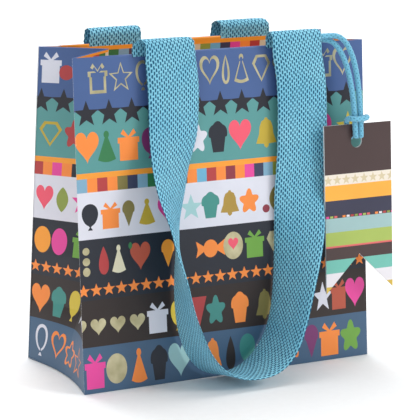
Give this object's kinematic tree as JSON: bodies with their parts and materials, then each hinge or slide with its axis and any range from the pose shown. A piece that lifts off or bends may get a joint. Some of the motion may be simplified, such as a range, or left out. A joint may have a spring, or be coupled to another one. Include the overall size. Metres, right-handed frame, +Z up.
{
  "type": "gift bag",
  "caption": "Open-top printed paper gift bag with folded side gussets, flat knitted tape handles that flip over the rim, and a swallow-tailed gift tag on a doubled cord.",
  "frame": {"origin": "centre of the base's underside, on the surface the bag stands on", "axes": "+Z up, the front wall faces -Y, the bag's width runs along X"},
  "size_m": [0.1483, 0.1106, 0.1478],
  "materials": {
    "printed_paper": "satin coated board with printed colour bands and gold foil accents, unprinted white inside",
    "grey_board": "uncoated grey board",
    "knitted_tape": "sky blue knitted cotton tape",
    "tag_cord": "sky blue soft braided cord",
    "tag_card": "satin printed card with striped artwork"
  },
  "bodies": {
    "base": {"front_base_flap": "printed_paper", "rear_base_flap": "printed_paper", "left_base_flap": "printed_paper", "right_base_flap": "printed_paper", "base_board": "grey_board"},
    "front_wall": {"front_panel": "printed_paper", "front_hem_board": "grey_board", "front_handle_ends": "knitted_tape", "front_handle_bends": "knitted_tape"},
    "rear_wall": {"rear_panel": "printed_paper", "rear_hem_board": "grey_board", "rear_handle_ends": "knitted_tape", "rear_handle_bends": "knitted_tape", "side_seam_flap": "printed_paper"},
    "left_gusset_front": {"left_gusset_front": "printed_paper"},
    "left_gusset_rear": {"left_gusset_rear": "printed_paper"},
    "right_gusset_front": {"right_gusset_front": "printed_paper"},
    "right_gusset_rear": {"right_gusset_rear": "printed_paper"},
    "front_handle": {"front_handle_loop": "knitted_tape"},
    "rear_handle": {"rear_handle_loop": "knitted_tape"},
    "tag_string": {"tag_string_inner": "tag_cord", "tag_string_outer": "tag_cord", "tag_string_knot": "tag_cord"},
    "tag": {"tag_card": "tag_card"}
  },
  "joints": [
    {"name": "mouth_front", "type": "hinge", "parent": "base", "child": "front_wall", "pos_m": [0, -0.03, 0], "axis": [-1, 0, 0], "range_deg": [0, 5.5]},
    {"name": "mouth_rear", "type": "hinge", "parent": "base", "child": "rear_wall", "pos_m": [0, 0.03, 0], "axis": [1, 0, 0], "range_deg": [0, 5.7]},
    {"name": "left_fold_front", "type": "hinge", "parent": "front_wall", "child": "left_gusset_front", "pos_m": [-0.06985, -0.02915, -0.00007], "axis": [0, -0.0873, -0.9962], "range_deg": [0, 28.7]},
    {"name": "left_fold_rear", "type": "hinge", "parent": "rear_wall", "child": "left_gusset_rear", "pos_m": [-0.06985, 0.02915, -0.00007], "axis": [0, -0.0873, 0.9962], "range_deg": [0, 28.7]},
    {"name": "right_fold_front", "type": "hinge", "parent": "front_wall", "child": "right_gusset_front", "pos_m": [0.06985, -0.02915, -0.00007], "axis": [0, 0.0873, 0.9962], "range_deg": [0, 28.7]},
    {"name": "right_fold_rear", "type": "hinge", "parent": "rear_wall", "child": "right_gusset_rear", "pos_m": [0.06985, 0.02915, -0.00007], "axis": [0, 0.0873, -0.9962], "range_deg": [0, 28.7]},
    {"name": "front_handle_flip", "type": "hinge", "parent": "front_wall", "child": "front_handle", "pos_m": [0, -0.01959, 0.14449], "axis": [-1, 0, 0], "range_deg": [0, 160], "deforming": ["front_handle_bends"]},
    {"name": "rear_handle_flip", "type": "hinge", "parent": "rear_wall", "child": "rear_handle", "pos_m": [0, 0.01959, 0.14449], "axis": [1, 0, 0], "range_deg": [0, 160], "deforming": ["rear_handle_bends"]},
    {"name": "tag_swing", "type": "hinge", "parent": "front_wall", "child": "tag_string", "pos_m": [0.042, -0.01954, 0.14343], "axis": [-1, 0, 0], "range_deg": [0, 75]},
    {"name": "tag_turn", "type": "hinge", "parent": "tag_string", "child": "tag", "pos_m": [0.0604, -0.03037, 0.09881], "axis": [0, -0.9962, 0.0873], "range_deg": [0, 15]}
  ],
  "couplings": [
    {"joint": "mouth_rear", "follows": "mouth_front", "ratio": 1},
    {"joint": "left_fold_front", "follows": "mouth_front", "ratio": 5.103},
    {"joint": "left_fold_rear", "follows": "mouth_front", "ratio": 5.103},
    {"joint": "right_fold_front", "follows": "mouth_front", "ratio": 5.103},
    {"joint": "right_fold_rear", "follows": "mouth_front", "ratio": 5.103}
  ]
}
